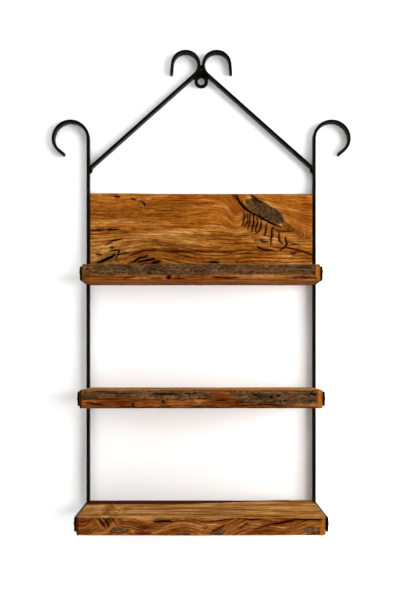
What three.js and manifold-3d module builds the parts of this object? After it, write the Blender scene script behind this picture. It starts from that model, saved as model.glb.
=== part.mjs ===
// A wall shelf: three reclaimed wood planks and a back board in a forged flat-iron frame.
//
// Units are millimetres. +X is to the right, +Z is up, and the wall is the plane y = 0, with the
// shelf standing out from it towards -Y. The origin is the centre of the hanging ring's hole, on
// the wall. The braces are laid out from the ring, and everything else hangs below their feet.

import * as THREE from 'three';
import { mergeVertices } from 'three/addons/utils/BufferGeometryUtils.js';
import Module from 'manifold-3d';

const wasm = await Module();
wasm.setup();

// ---- Driving dimensions -------------------------------------------------------------------

const clearance = 0.3; // left between two pieces that touch
const insideWidth = 418.5; // between the inner faces of the two uprights

// The flat bar of the uprights and braces. It stands on edge, so that its width runs out from the
// wall.
const barThickness = 5.5;
const barWidth = 15;

// The hook that each upright ends in, measured on the bar's centreline.
const hookAboveBraceFoot = 55.4; // from the brace's foot to the centre of the hook's bend
const hookRadius = 32.8;
const hookCurlRadius = 27;
const hookCurlAngle = 50;
const hookTail = 14.5;

// The braces rise to the middle and end in two scrolls, measured on the bar's centreline.
const braceAngle = 41.7;
const scrollRadius = 25;
const scrollGap = 2.8; // between the two scrolls, where they come closest
const scrollEndAngle = 175; // where the curl straightens out, counted from its inner side
const scrollTail = 20;

// The ring that the frame hangs by, and the welds around it.
const ringOuterRadius = 13;
const ringHoleRadius = 6;
const ringThickness = 4;
const ringBraceGap = 1.2; // between the ring and each brace
const weldDepth = 9;
const gussetBelowScroll = 9.3; // from the scrolls' centres down to the gusset's top
const gussetShoulder = 7.5; // how far the gusset reaches down past the ring's top
const tackBelowScroll = 2.9;
const tackRadius = 2.6;
const footWeldLeg = 6; // along each bar, from the corner between them
const footWeldBulge = 4.4; // out from that corner

// The planks, from the top down. bay is the clear height over a plank, up to the one above.
// armInset is how far the arm's upper edge lies under the plank's top face, and screwRise is the
// front screw's height over the arm's middle.
const planks = [
  { name: 'top', thickness: 29, depth: 108, armInset: 3.3, screwRise: 3.5 },
  { name: 'middle', bay: 191.6, thickness: 33, depth: 135, armInset: 4, screwRise: 0 },
  { name: 'bottom', bay: 179.5, thickness: 32, depth: 174, armInset: 2, screwRise: 0 },
];
const plankChamfer = 8; // on the two upright corners at the front

// The back board stands on the top shelf.
const panelHeight = 143.5;
const panelThickness = 15;
const panelBelowBraceFoot = 46.5;

// The flat arm at each end of each plank. It is thinner than the upright, and flush with its outer
// face, so the planks are longer than the inside width and notched round the uprights.
const armThickness = 3;
const armHeight = 25;
const armCornerRadius = 5;
const armWeldWidth = 6;
const armWeldProud = 1.2;
const armWeldShort = 1; // left bare at each end of the seam

// Screws, and how far each goes into the last piece of wood that it holds.
const armScrew = { headRadius: 4.4, headHeight: 2.4, shankRadius: 2, tip: 4 };
const armScrewBite = 26;
const frontScrewSetback = 12; // from the arm's front end
const rearScrewSetback = 13; // from the upright
const recessWidth = 1;
const recessLength = 4.4;
const recessDepth = 1.2;
const panelScrew = { headRadius: 4, headHeight: 3, headRim: 0.5, shankRadius: 2, tip: 4 };
const panelScrewBite = 20;
const panelScrewCount = 3;
const panelScrewFromEnd = 60;

// How finely round shapes are divided.
const bendStep = 6; // degrees of a bar's bend for each flat
const screwSides = 16;
const domeSteps = 5;
const ringSides = 16; // for each half of the ring

// ---- Derived places -----------------------------------------------------------------------

const uprightInnerX = insideWidth / 2;
const uprightCentreX = uprightInnerX + barThickness / 2;
const ironOuterX = uprightInnerX + barThickness;
const armInnerX = ironOuterX - armThickness;
const panelLength = insideWidth - 2 * clearance;
const plankLength = 2 * (armInnerX - clearance);
const notchDepth = barWidth + clearance;
const weldMiddleY = -barWidth / 2;

const brace = braceLayout();
const panelBottomZ = brace.footZ - panelBelowBraceFoot - panelHeight;
const shelves = stackShelves(panelBottomZ - clearance);
const topShelf = shelves[0];
const lowestShelf = shelves[shelves.length - 1];
const uprightBottomZ = -(lowestShelf.drop + lowestShelf.armInset + armHeight);
const hookCentreZ = brace.footZ + hookAboveBraceFoot;

const sides = [
  { name: 'left', sign: -1 },
  { name: 'right', sign: 1 },
];

// The right-hand brace's centreline: a slope that clears the ring, and a curl tangent to it.
// The two meet at the tangent point, and the foot is where the slope meets the upright.
function braceLayout() {
  const slope = THREE.MathUtils.degToRad(braceAngle);
  const ringToLine = ringOuterRadius + ringBraceGap + barThickness / 2;
  const scrollX = scrollGap / 2 + barThickness / 2 + scrollRadius;
  const scrollZ = (ringToLine + scrollRadius - scrollX * Math.sin(slope)) / Math.cos(slope);
  const tangentX = scrollX - scrollRadius * Math.sin(slope);
  const tangentZ = scrollZ - scrollRadius * Math.cos(slope);
  const footZ = tangentZ - (uprightInnerX - tangentX) * Math.tan(slope);
  return { slope, scrollX, scrollZ, tangentX, tangentZ, footZ };
}

// Each plank with its top face's drop below the origin.
function stackShelves(firstTopZ) {
  let topZ = firstTopZ;
  return planks.map((plankSize, index) => {
    if (index > 0) {
      topZ -= plankSize.bay;
    }
    const shelf = { ...plankSize, drop: -topZ };
    topZ -= plankSize.thickness;
    return shelf;
  });
}

// ---- Materials ----------------------------------------------------------------------------

const panelWood = () => new THREE.MeshStandardMaterial({ color: 0xa9814f, roughness: 0.72 });
const shelfWood = () => new THREE.MeshStandardMaterial({ color: 0x8f7d62, roughness: 0.78 });
const blackIron = () =>
  new THREE.MeshStandardMaterial({ color: 0x1c1a19, roughness: 0.5, metalness: 0.7 });
const weldIron = () =>
  new THREE.MeshStandardMaterial({ color: 0x15120f, roughness: 0.6, metalness: 0.7 });
const screwSteel = () =>
  new THREE.MeshStandardMaterial({ color: 0x2b2826, roughness: 0.4, metalness: 0.9 });

// ---- Solids: joining and cutting ----------------------------------------------------------

function toSolid(geometry) {
  const bare = geometry.clone();
  bare.deleteAttribute('normal');
  bare.deleteAttribute('uv');
  const merged = mergeVertices(bare, 1e-4);
  return new wasm.Manifold(new wasm.Mesh({
    numProp: 3,
    vertProperties: new Float32Array(merged.attributes.position.array),
    triVerts: new Uint32Array(merged.index.array),
  }));
}

function toGeometry(solid) {
  const mesh = solid.getMesh();
  const geometry = new THREE.BufferGeometry();
  geometry.setAttribute('position', new THREE.BufferAttribute(mesh.vertProperties, 3));
  geometry.setIndex(new THREE.BufferAttribute(mesh.triVerts, 1));
  geometry.computeVertexNormals();
  return geometry;
}

function cut(geometry, ...tools) {
  const solid = tools.reduce((rest, tool) => rest.subtract(toSolid(tool)), toSolid(geometry));
  return toGeometry(solid);
}

// ---- Solids: shapes -----------------------------------------------------------------------

// An outline drawn as (x, z) on the wall, made into a solid from frontY back to frontY + depth.
function standingOut(shape, depth, frontY, curveSegments = 12) {
  const geometry = new THREE.ExtrudeGeometry(shape, { depth, bevelEnabled: false, curveSegments });
  geometry.rotateX(Math.PI / 2);
  geometry.translate(0, frontY + depth, 0);
  return geometry;
}

// An outline drawn as (x, y) in plan, made into a solid between two heights.
function standingUp(shape, bottomZ, height, curveSegments = 12) {
  const geometry = new THREE.ExtrudeGeometry(shape, {
    depth: height,
    bevelEnabled: false,
    curveSegments,
  });
  geometry.translate(0, 0, bottomZ);
  return geometry;
}

function box(lowX, highX, lowY, highY, lowZ, highZ) {
  const geometry = new THREE.BoxGeometry(highX - lowX, highY - lowY, highZ - lowZ);
  geometry.translate((lowX + highX) / 2, (lowY + highY) / 2, (lowZ + highZ) / 2);
  return geometry;
}

function mirrored(points, sign) {
  return points.map((point) => new THREE.Vector2(-sign * point.x, point.y));
}

// The edge view of a bar bent out of flat stock. It starts at (x, z) with a heading in degrees
// and takes straight runs and left-hand bends in turn, each given on its centreline.
function bentBar({ x, z, heading, runs }, thickness) {
  const leftEdge = [];
  const rightEdge = [];
  const place = new THREE.Vector2(x, z);
  let angle = THREE.MathUtils.degToRad(heading);

  function mark() {
    const toLeft = new THREE.Vector2(-Math.sin(angle), Math.cos(angle));
    leftEdge.push(place.clone().addScaledVector(toLeft, thickness / 2));
    rightEdge.push(place.clone().addScaledVector(toLeft, -thickness / 2));
  }

  mark();
  for (const run of runs) {
    if (run.length !== undefined) {
      place.x += run.length * Math.cos(angle);
      place.y += run.length * Math.sin(angle);
      mark();
      continue;
    }
    const steps = Math.ceil(run.bend / bendStep);
    const turn = THREE.MathUtils.degToRad(run.bend / steps);
    const centreX = place.x - run.radius * Math.sin(angle);
    const centreZ = place.y + run.radius * Math.cos(angle);
    for (let step = 0; step < steps; step += 1) {
      angle += turn;
      place.set(centreX + run.radius * Math.sin(angle), centreZ - run.radius * Math.cos(angle));
      mark();
    }
  }
  return [...rightEdge, ...leftEdge.reverse()];
}

// A screw with its point below z = 0 and its head above: a dome, or a countersunk head where it
// has a rim. extra swells it all over, which makes the hole that it passes through.
function screw({ headRadius, headHeight, headRim, shankRadius, length, tip }, extra = 0) {
  const profile = [new THREE.Vector2(0, headHeight + extra)];
  if (headRim === undefined) {
    for (let step = 1; step <= domeSteps; step += 1) {
      const angle = (step / domeSteps) * (Math.PI / 2);
      const radius = (headRadius + extra) * Math.sin(angle);
      profile.push(new THREE.Vector2(radius, (headHeight + extra) * Math.cos(angle)));
    }
  } else {
    profile.push(new THREE.Vector2(headRadius + extra, headHeight + extra));
    profile.push(new THREE.Vector2(headRadius + extra, headHeight - headRim));
  }
  profile.push(new THREE.Vector2(shankRadius + extra, 0));
  profile.push(new THREE.Vector2(shankRadius + extra, tip - length));
  profile.push(new THREE.Vector2(0, -length - extra));
  const geometry = new THREE.LatheGeometry(profile.reverse(), screwSides);
  geometry.rotateX(Math.PI / 2);
  return geometry;
}

// ---- The iron frame -----------------------------------------------------------------------

function uprightPath() {
  return {
    x: -uprightCentreX,
    z: uprightBottomZ,
    heading: 90,
    runs: [
      { length: hookCentreZ - uprightBottomZ },
      { radius: hookRadius, bend: 180 },
      { radius: hookCurlRadius, bend: hookCurlAngle },
      { length: hookTail },
    ],
  };
}

// How far the brace's centreline is from the middle at a height below the scroll's centre.
function braceCentreX(z) {
  if (z < brace.tangentZ) {
    return brace.tangentX + (brace.tangentZ - z) / Math.tan(brace.slope);
  }
  return brace.scrollX - Math.sqrt(scrollRadius ** 2 - (z - brace.scrollZ) ** 2);
}

function bracePath() {
  const straight = (uprightCentreX - brace.tangentX) / Math.cos(brace.slope);
  return {
    x: -uprightCentreX,
    z: brace.tangentZ - straight * Math.sin(brace.slope),
    heading: braceAngle,
    runs: [
      { length: straight },
      { radius: scrollRadius, bend: 90 - braceAngle + scrollEndAngle },
      { length: scrollTail },
    ],
  };
}

function barSolid(path, side, thickness = barThickness) {
  const outline = mirrored(bentBar(path, thickness), side.sign);
  return standingOut(new THREE.Shape(outline), barWidth, -barWidth);
}

// The room that an upright takes, seen from inside the frame, with its clearance.
function uprightRoom(side) {
  const near = side.sign * (uprightInnerX - clearance);
  const far = side.sign * (uprightInnerX + 2 * hookRadius);
  const lowX = Math.min(near, far);
  const highX = Math.max(near, far);
  return box(lowX, highX, -2 * barWidth, barWidth, uprightBottomZ, 0);
}

function braceRoom(side) {
  return barSolid(bracePath(), side, barThickness + 2 * clearance);
}

function ringRoom() {
  const disc = new THREE.Shape();
  disc.absarc(0, 0, ringOuterRadius + clearance, 0, 2 * Math.PI);
  return standingOut(disc, 2 * barWidth, -2 * barWidth, ringSides);
}

function hangingRing() {
  const disc = new THREE.Shape();
  disc.absarc(0, 0, ringOuterRadius, 0, 2 * Math.PI);
  const hole = new THREE.Path();
  hole.absarc(0, 0, ringHoleRadius, 0, 2 * Math.PI);
  disc.holes.push(hole);
  return standingOut(disc, ringThickness, weldMiddleY - ringThickness / 2, ringSides);
}

// Weld metal fills the notch between the braces, down to the ring and round its shoulders.
function apexGusset() {
  const topZ = brace.scrollZ - gussetBelowScroll;
  const bottomZ = ringOuterRadius - gussetShoulder;
  const topX = braceCentreX(topZ);
  const bottomX = braceCentreX(bottomZ);
  const notch = new THREE.Shape([
    new THREE.Vector2(-bottomX, bottomZ),
    new THREE.Vector2(bottomX, bottomZ),
    new THREE.Vector2(topX, topZ),
    new THREE.Vector2(-topX, topZ),
  ]);
  const blank = standingOut(notch, weldDepth, weldMiddleY - weldDepth / 2);
  return cut(blank, braceRoom(sides[0]), braceRoom(sides[1]), ringRoom());
}

// A tack joins the two scrolls just under the place where they come closest.
function scrollTack() {
  const disc = new THREE.Shape();
  disc.absarc(0, brace.scrollZ - tackBelowScroll, tackRadius, 0, 2 * Math.PI);
  const blank = standingOut(disc, weldDepth, weldMiddleY - weldDepth / 2);
  return cut(blank, braceRoom(sides[0]), braceRoom(sides[1]));
}

// A bead under each brace's foot, in the corner that it makes with the upright.
function footWeld(side) {
  const slope = brace.slope;
  const halfway = (slope - Math.PI / 2) / 2;
  const cornerX = -uprightInnerX;
  const cornerZ = brace.footZ - barThickness / 2 / Math.cos(slope);
  const corner = [
    new THREE.Vector2(cornerX, cornerZ + barThickness / 2),
    new THREE.Vector2(cornerX, cornerZ - footWeldLeg),
    new THREE.Vector2(
      cornerX + footWeldBulge * Math.cos(halfway),
      cornerZ + footWeldBulge * Math.sin(halfway),
    ),
    new THREE.Vector2(
      cornerX + footWeldLeg * Math.cos(slope),
      cornerZ + footWeldLeg * Math.sin(slope),
    ),
  ];
  const shape = new THREE.Shape(mirrored(corner, side.sign));
  const blank = standingOut(shape, weldDepth, weldMiddleY - weldDepth / 2);
  return cut(blank, braceRoom(side), uprightRoom(side));
}

// ---- Arms and their screws ----------------------------------------------------------------

function armPlace(shelf) {
  const rootY = -notchDepth;
  const frontY = -(shelf.depth - plankChamfer);
  const topZ = -(shelf.drop + shelf.armInset);
  return { rootY, frontY, topZ, bottomZ: topZ - armHeight, middleZ: topZ - armHeight / 2 };
}

function armScrewPlaces(shelf, side) {
  const { frontY, middleZ } = armPlace(shelf);
  const x = side.sign * (ironOuterX + clearance);
  return {
    front: new THREE.Vector3(x, frontY + frontScrewSetback, middleZ + shelf.screwRise),
    rear: new THREE.Vector3(x, -(barWidth + rearScrewSetback), middleZ),
  };
}

// A screw driven in from the end of the shelf, with its head on the arm's outer face.
function placedArmScrew(place, side, extra = 0) {
  const length = armThickness + clearance + armScrewBite;
  const geometry = screw({ ...armScrew, length }, extra);
  geometry.rotateY(side.sign * (Math.PI / 2));
  geometry.translate(place.x, place.y, place.z);
  return geometry;
}

function crossRecess(place, side) {
  const outerX = place.x + side.sign * armScrew.headHeight;
  const half = recessLength / 2;
  const thin = recessWidth / 2;
  const innerX = outerX - side.sign * recessDepth;
  const farX = outerX + side.sign * recessDepth;
  const lowX = Math.min(innerX, farX);
  const highX = Math.max(innerX, farX);
  return [
    box(lowX, highX, place.y - half, place.y + half, place.z - thin, place.z + thin),
    box(lowX, highX, place.y - thin, place.y + thin, place.z - half, place.z + half),
  ];
}

function finishedArmScrew(place, side) {
  return cut(placedArmScrew(place, side), ...crossRecess(place, side));
}

function arm(shelf, side) {
  const { rootY, frontY, topZ, bottomZ } = armPlace(shelf);
  const r = armCornerRadius;
  const reach = -frontY;
  const outline = new THREE.Shape();
  outline.moveTo(-rootY, bottomZ);
  outline.lineTo(reach - r, bottomZ);
  outline.absarc(reach - r, bottomZ + r, r, -Math.PI / 2, 0);
  outline.lineTo(reach, topZ - r);
  outline.absarc(reach - r, topZ - r, r, 0, Math.PI / 2);
  outline.lineTo(-rootY, topZ);
  const geometry = new THREE.ExtrudeGeometry(outline, {
    depth: armThickness,
    bevelEnabled: false,
    curveSegments: 6,
  });
  const forward = new THREE.Vector3(0, -1, 0);
  const up = new THREE.Vector3(0, 0, 1);
  const leftward = new THREE.Vector3(-1, 0, 0);
  geometry.applyMatrix4(new THREE.Matrix4().makeBasis(forward, up, leftward));
  geometry.translate(side.sign < 0 ? -armInnerX : ironOuterX, 0, 0);
  const places = armScrewPlaces(shelf, side);
  const frontHole = placedArmScrew(places.front, side, clearance);
  const rearHole = placedArmScrew(places.rear, side, clearance);
  return cut(geometry, withoutHead(frontHole, side), withoutHead(rearHole, side));
}

// Only the shank bores a hole: the head's swollen copy is trimmed away at the arm's outer face.
function withoutHead(geometry, side) {
  const start = side.sign * (ironOuterX + clearance / 2);
  const end = start + side.sign * 3 * armScrew.headHeight;
  const lowX = Math.min(start, end);
  const highX = Math.max(start, end);
  const lowestZ = uprightBottomZ - armHeight;
  return cut(geometry, box(lowX, highX, -2 * lowestShelf.depth, barWidth, lowestZ, 0));
}

// The bead on the outer face, over the seam between the upright and the arm.
function armWeld(shelf, side) {
  const { topZ } = armPlace(shelf);
  const seamY = -(barWidth + clearance / 2);
  const faceX = ironOuterX + clearance;
  const half = armWeldWidth / 2;
  const radius = (half * half + armWeldProud * armWeldProud) / (2 * armWeldProud);
  const spread = Math.asin(half / radius);
  const bead = new THREE.Shape();
  bead.absarc(0, 0, radius, -spread, spread);
  const height = armHeight - 2 * armWeldShort;
  const geometry = standingUp(bead, topZ - armWeldShort - height, height, 8);
  geometry.translate(faceX + armWeldProud - radius, seamY, 0);
  if (side.sign < 0) {
    geometry.translate(0, -seamY, 0);
    geometry.rotateZ(Math.PI);
    geometry.translate(0, seamY, 0);
  }
  return geometry;
}

// ---- Wood ---------------------------------------------------------------------------------

function panelScrewPlaces() {
  const first = -(insideWidth / 2 - panelScrewFromEnd);
  const spacing = (-2 * first) / (panelScrewCount - 1);
  const underside = -(topShelf.drop + topShelf.thickness);
  return Array.from({ length: panelScrewCount }, (unused, index) =>
    new THREE.Vector3(first + index * spacing, -panelThickness / 2, underside));
}

// A countersunk screw driven up through the top shelf into the board's lower edge. Its head
// lies flush with the shelf's underside, pointing down.
function placedPanelScrew(place, extra = 0) {
  const length = topShelf.thickness - panelScrew.headHeight + clearance + panelScrewBite;
  const geometry = screw({ ...panelScrew, length }, extra);
  geometry.rotateX(Math.PI);
  geometry.translate(place.x, place.y, place.z + panelScrew.headHeight);
  return geometry;
}

function plank(shelf) {
  const half = plankLength / 2;
  const waist = panelLength / 2;
  const outline = new THREE.Shape([
    new THREE.Vector2(-waist, 0),
    new THREE.Vector2(-waist, -notchDepth),
    new THREE.Vector2(-half, -notchDepth),
    new THREE.Vector2(-half, plankChamfer - shelf.depth),
    new THREE.Vector2(plankChamfer - half, -shelf.depth),
    new THREE.Vector2(half - plankChamfer, -shelf.depth),
    new THREE.Vector2(half, plankChamfer - shelf.depth),
    new THREE.Vector2(half, -notchDepth),
    new THREE.Vector2(waist, -notchDepth),
    new THREE.Vector2(waist, 0),
  ]);
  const blank = standingUp(outline, -(shelf.drop + shelf.thickness), shelf.thickness);
  const holes = sides.flatMap((side) =>
    Object.values(armScrewPlaces(shelf, side)).map((place) =>
      placedArmScrew(place, side, clearance)));
  if (shelf === topShelf) {
    holes.push(...panelScrewPlaces().map((place) => placedPanelScrew(place, clearance)));
  }
  return cut(blank, ...holes);
}

function backPanel() {
  const half = panelLength / 2;
  const topZ = panelBottomZ + panelHeight;
  const blank = box(-half, half, -panelThickness, 0, panelBottomZ, topZ);
  return cut(blank, ...panelScrewPlaces().map((place) => placedPanelScrew(place, clearance)));
}

// ---- Assembly -----------------------------------------------------------------------------

const shelfUnit = new THREE.Group();

function addPiece(name, geometry, material) {
  const mesh = new THREE.Mesh(geometry, material);
  mesh.name = name;
  shelfUnit.add(mesh);
}

addPiece('back_panel', backPanel(), panelWood());
for (const shelf of shelves) {
  addPiece(`${shelf.name}_shelf`, plank(shelf), shelfWood());
}

addPiece('hanging_ring', hangingRing(), blackIron());
addPiece('apex_gusset_weld', apexGusset(), weldIron());
addPiece('scroll_tack_weld', scrollTack(), weldIron());

for (const side of sides) {
  addPiece(`${side.name}_upright`, barSolid(uprightPath(), side), blackIron());
  addPiece(`${side.name}_brace`, cut(barSolid(bracePath(), side), uprightRoom(side)), blackIron());
  addPiece(`${side.name}_brace_weld`, footWeld(side), weldIron());
  for (const shelf of shelves) {
    const label = `${side.name}_${shelf.name}`;
    const places = armScrewPlaces(shelf, side);
    addPiece(`${label}_arm`, arm(shelf, side), blackIron());
    addPiece(`${label}_arm_weld`, armWeld(shelf, side), weldIron());
    addPiece(`${label}_front_screw`, finishedArmScrew(places.front, side), screwSteel());
    addPiece(`${label}_rear_screw`, finishedArmScrew(places.rear, side), screwSteel());
  }
}

panelScrewPlaces().forEach((place, index) => {
  addPiece(`panel_screw_${index + 1}`, placedPanelScrew(place), screwSteel());
});

export default shelfUnit;
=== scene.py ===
"""The looks of a hanging wall shelf: worn reclaimed wood in a black forged flat-iron frame.

Lengths are metres in the CAD frame: +X to the right, +Y into the wall, +Z up. Feature lists on the
wood are in millimetres, measured along each board's front face.
"""

import math

import bpy
import numpy as np
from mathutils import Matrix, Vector


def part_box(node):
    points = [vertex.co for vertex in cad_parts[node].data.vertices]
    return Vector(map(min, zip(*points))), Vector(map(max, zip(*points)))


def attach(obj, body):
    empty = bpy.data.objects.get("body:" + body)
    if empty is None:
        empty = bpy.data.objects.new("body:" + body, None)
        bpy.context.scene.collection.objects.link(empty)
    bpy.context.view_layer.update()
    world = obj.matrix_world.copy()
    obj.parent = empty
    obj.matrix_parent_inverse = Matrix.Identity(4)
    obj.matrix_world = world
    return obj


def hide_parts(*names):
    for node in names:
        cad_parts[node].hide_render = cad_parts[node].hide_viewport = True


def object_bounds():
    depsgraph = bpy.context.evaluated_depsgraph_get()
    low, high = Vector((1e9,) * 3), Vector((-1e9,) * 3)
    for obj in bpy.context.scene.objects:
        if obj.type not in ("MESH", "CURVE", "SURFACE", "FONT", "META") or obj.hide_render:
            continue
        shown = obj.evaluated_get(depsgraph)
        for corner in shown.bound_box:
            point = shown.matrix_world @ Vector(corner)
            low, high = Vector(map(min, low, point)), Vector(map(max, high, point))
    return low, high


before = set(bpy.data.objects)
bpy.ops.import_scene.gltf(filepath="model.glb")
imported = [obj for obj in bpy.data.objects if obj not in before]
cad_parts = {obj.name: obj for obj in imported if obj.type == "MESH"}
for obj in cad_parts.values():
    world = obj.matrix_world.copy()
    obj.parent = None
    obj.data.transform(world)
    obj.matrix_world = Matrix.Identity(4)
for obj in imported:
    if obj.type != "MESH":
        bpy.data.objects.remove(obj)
cad_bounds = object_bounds()

MM = 0.001
CLEARANCE = 0.3 * MM
SIDES = {"left": -1, "right": 1}
SHELVES = ("top", "middle", "bottom")


def low_high(node):
    low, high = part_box(node)
    return np.array(low), np.array(high)


upright_low, upright_high = low_high("left_upright")
arm_low, _ = low_high("left_top_arm")

# The left upright's bar runs from the arm's outer face, flush with its own, to its inner face.
IRON_THICKNESS = upright_high[0] - arm_low[0]


# ---- Noise and curves ---------------------------------------------------------------------


def noise(points, cell, seed):
    """Smooth noise from -1 to 1. cell is one size in metres, or one for each axis."""
    rng = np.random.default_rng(seed)
    table = rng.uniform(-1, 1, 4096)
    places = points / np.asarray(cell) + 1000.5
    whole = np.floor(places).astype(np.int64)
    part = places - whole
    part = part * part * (3 - 2 * part)
    total = np.zeros(len(points))
    for corner in range(8):
        step = np.array([corner & 1, corner >> 1 & 1, corner >> 2 & 1])
        spot = whole + step
        slot = (spot[:, 0] * 73856093 ^ spot[:, 1] * 19349663 ^ spot[:, 2] * 83492791) % 4096
        share = np.where(step, part, 1 - part).prod(axis=1)
        total += share * table[slot]
    return total


def layered(points, cell, seed):
    """Noise with finer and fainter noise on it, from about -1 to 1."""
    layers = 3
    cell = np.asarray(cell, float)
    total = sum(noise(points, cell / 2**n, seed + n) / 2**n for n in range(layers))
    return total / (2 - 0.5 ** (layers - 1))


def smooth(value, low, high):
    """0 below low, 1 above high, and a smooth step between."""
    share = np.clip((value - low) / (high - low), 0, 1)
    return share * share * (3 - 2 * share)


def rounded_line(points):
    """A smooth curve through a few given points."""
    steps = 6
    points = np.array(points, float)
    if len(points) == 2:
        return points
    ends = np.vstack([2 * points[0] - points[1], points, 2 * points[-1] - points[-2]])
    line = []
    for a, b, c, d in zip(ends, ends[1:], ends[2:], ends[3:], strict=False):
        for t in np.arange(steps) / steps:
            square = 2 * a - 5 * b + 4 * c - d
            cube = 3 * b - a - 3 * c + d
            line.append((2 * b + (c - a) * t + square * t**2 + cube * t**3) / 2)
    return np.vstack([*line, points[-1]])


def stroke(u, v, points, width):
    """How far inside a drawn stroke each place lies: 1 on its line, 0 outside its width."""
    taper = 0.5
    line = rounded_line(points)
    inside = np.zeros(len(u))
    total = len(line) - 1
    for n in range(total):
        (au, av), (bu, bv) = line[n], line[n + 1]
        du, dv = bu - au, bv - av
        along = np.clip(((u - au) * du + (v - av) * dv) / (du * du + dv * dv + 1e-9), 0, 1)
        away = np.hypot(u - au - along * du, v - av - along * dv)
        place = (n + along) / total
        half = width / 2 * (1 - taper * np.abs(2 * place - 1) ** 2)
        inside = np.maximum(inside, np.clip(1.35 - away / half, 0, 1))
    return inside


def patch(u, v, centre, radii, turn=0.0):
    """Distance from the middle of an oval in its own radii: 1 on its rim."""
    c, s = math.cos(math.radians(turn)), math.sin(math.radians(turn))
    du, dv = u - centre[0], v - centre[1]
    return np.hypot((du * c + dv * s) / radii[0], (dv * c - du * s) / radii[1])


def glow(distance):
    """A soft spot: 1 in the middle of an oval and fading past its rim."""
    return np.exp(-(distance**2))


# ---- Objects ------------------------------------------------------------------------------


def new_object(name, data):
    made = bpy.data.objects.new(name, data)
    bpy.context.scene.collection.objects.link(made)
    return made


def new_piece(name, points, faces, material, replaced, attributes=None):
    """A smooth-shaded mesh object that stands for CAD nodes and rides on the frame."""
    mesh = bpy.data.meshes.new(name)
    mesh.from_pydata(np.asarray(points).tolist(), [], [tuple(map(int, f)) for f in faces])
    for key, values in (attributes or {}).items():
        kind = "FLOAT_VECTOR" if values.ndim == 2 else "FLOAT"
        layer = mesh.attributes.new(key, kind, "POINT")
        layer.data.foreach_set("vector" if values.ndim == 2 else "value", values.ravel())
    mesh.shade_smooth()
    mesh.materials.append(material)
    piece = new_object(name, mesh)
    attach(piece, "root")
    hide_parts(*replaced)
    return piece


def sweep_faces(rings, sides):
    """Quads between rings of points, and a fan of triangles to a last point at each end."""
    faces = []
    for ring in range(rings - 1):
        for side in range(sides):
            after = (side + 1) % sides
            a, b = ring * sides + side, ring * sides + after
            faces.append((a, b, b + sides, a + sides))
    first, last = rings * sides, rings * sides + 1
    top = (rings - 1) * sides
    for side in range(sides):
        after = (side + 1) % sides
        faces.append((after, side, first))
        faces.append((top + side, top + after, last))
    return faces


# ---- Material nodes -----------------------------------------------------------------------


def rgb(red, green, blue):
    """A colour picked in 0 to 255 screen values, as linear light."""
    def linear(value):
        value /= 255
        return value / 12.92 if value <= 0.04045 else ((value + 0.055) / 1.055) ** 2.4
    return (linear(red), linear(green), linear(blue), 1)


class Surface:
    """A material and the nodes that are added to it."""

    def __init__(self, name):
        self.material = bpy.data.materials.new(name)
        self.material.use_nodes = True
        self.tree = self.material.node_tree
        self.shader = self.tree.nodes["Principled BSDF"]

    def plug(self, socket, value):
        if isinstance(value, bpy.types.NodeSocket):
            self.tree.links.new(value, socket)
        else:
            socket.default_value = value

    def set_input(self, key, value):
        """Sets one of the shader's own inputs."""
        self.plug(self.shader.inputs[key], value)

    def node(self, kind, inputs=None, output=0, **settings):
        node = self.tree.nodes.new(kind)
        for key, value in settings.items():
            setattr(node, key, value)
        for key, value in (inputs or {}).items():
            self.plug(node.inputs[key], value)
        return node.outputs[output]

    def attribute(self, name, output="Fac"):
        return self.node("ShaderNodeAttribute", attribute_name=name, output=output)

    def position(self):
        return self.node("ShaderNodeTexCoord", output="Object")

    def scaled(self, vector, *scale):
        """A place times a number for each axis, so that noise gets that many cells to the metre."""
        inputs = {0: vector, 1: scale}
        return self.node("ShaderNodeVectorMath", inputs, operation="MULTIPLY")

    def noise(self, vector, detail, roughness=0.55, distortion=0.0):
        inputs = {"Vector": vector, "Scale": 1, "Detail": detail}
        inputs.update({"Roughness": roughness, "Distortion": distortion})
        return self.node("ShaderNodeTexNoise", inputs)

    def math(self, operation, first, second=0.0, third=None, clamp=False):
        inputs = {0: first, 1: second}
        if third is not None:
            inputs[2] = third
        return self.node("ShaderNodeMath", inputs, operation=operation, use_clamp=clamp)

    def span(self, value, low, high, to_low=0.0, to_high=1.0):
        """value's stretch from low to high, as a smooth step between two other values."""
        inputs = {0: value, 1: low, 2: high, 3: to_low, 4: to_high}
        return self.node("ShaderNodeMapRange", inputs, interpolation_type="SMOOTHSTEP")

    def ramp(self, value, stops):
        node = self.tree.nodes.new("ShaderNodeValToRGB")
        elements = node.color_ramp.elements
        while len(elements) < len(stops):
            elements.new(0.5)
        for element, (place, colour) in zip(elements, stops, strict=True):
            element.position = place
            element.color = colour
        self.plug(node.inputs[0], value)
        return node.outputs[0]

    def mix(self, share, first, second, blend="MIX"):
        node = self.tree.nodes.new("ShaderNodeMix")
        node.data_type = "RGBA"
        node.blend_type = blend
        self.plug(node.inputs[0], share)
        self.plug(node.inputs[6], first)
        self.plug(node.inputs[7], second)
        return node.outputs[2]

    def bump(self, height, strength, distance):
        inputs = {"Height": height, "Strength": strength, "Distance": distance}
        return self.node("ShaderNodeBump", inputs)


# Old dry wood has next to no sheen, and waxed black iron has little.
DRY_WOOD_IOR = 1.03
IRON_SPECULAR = 0.04

# How strongly small features show in bare wood's colour.
FLECK_DEPTH = 0.55
FIBRE_CONTRAST = 0.8


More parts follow.
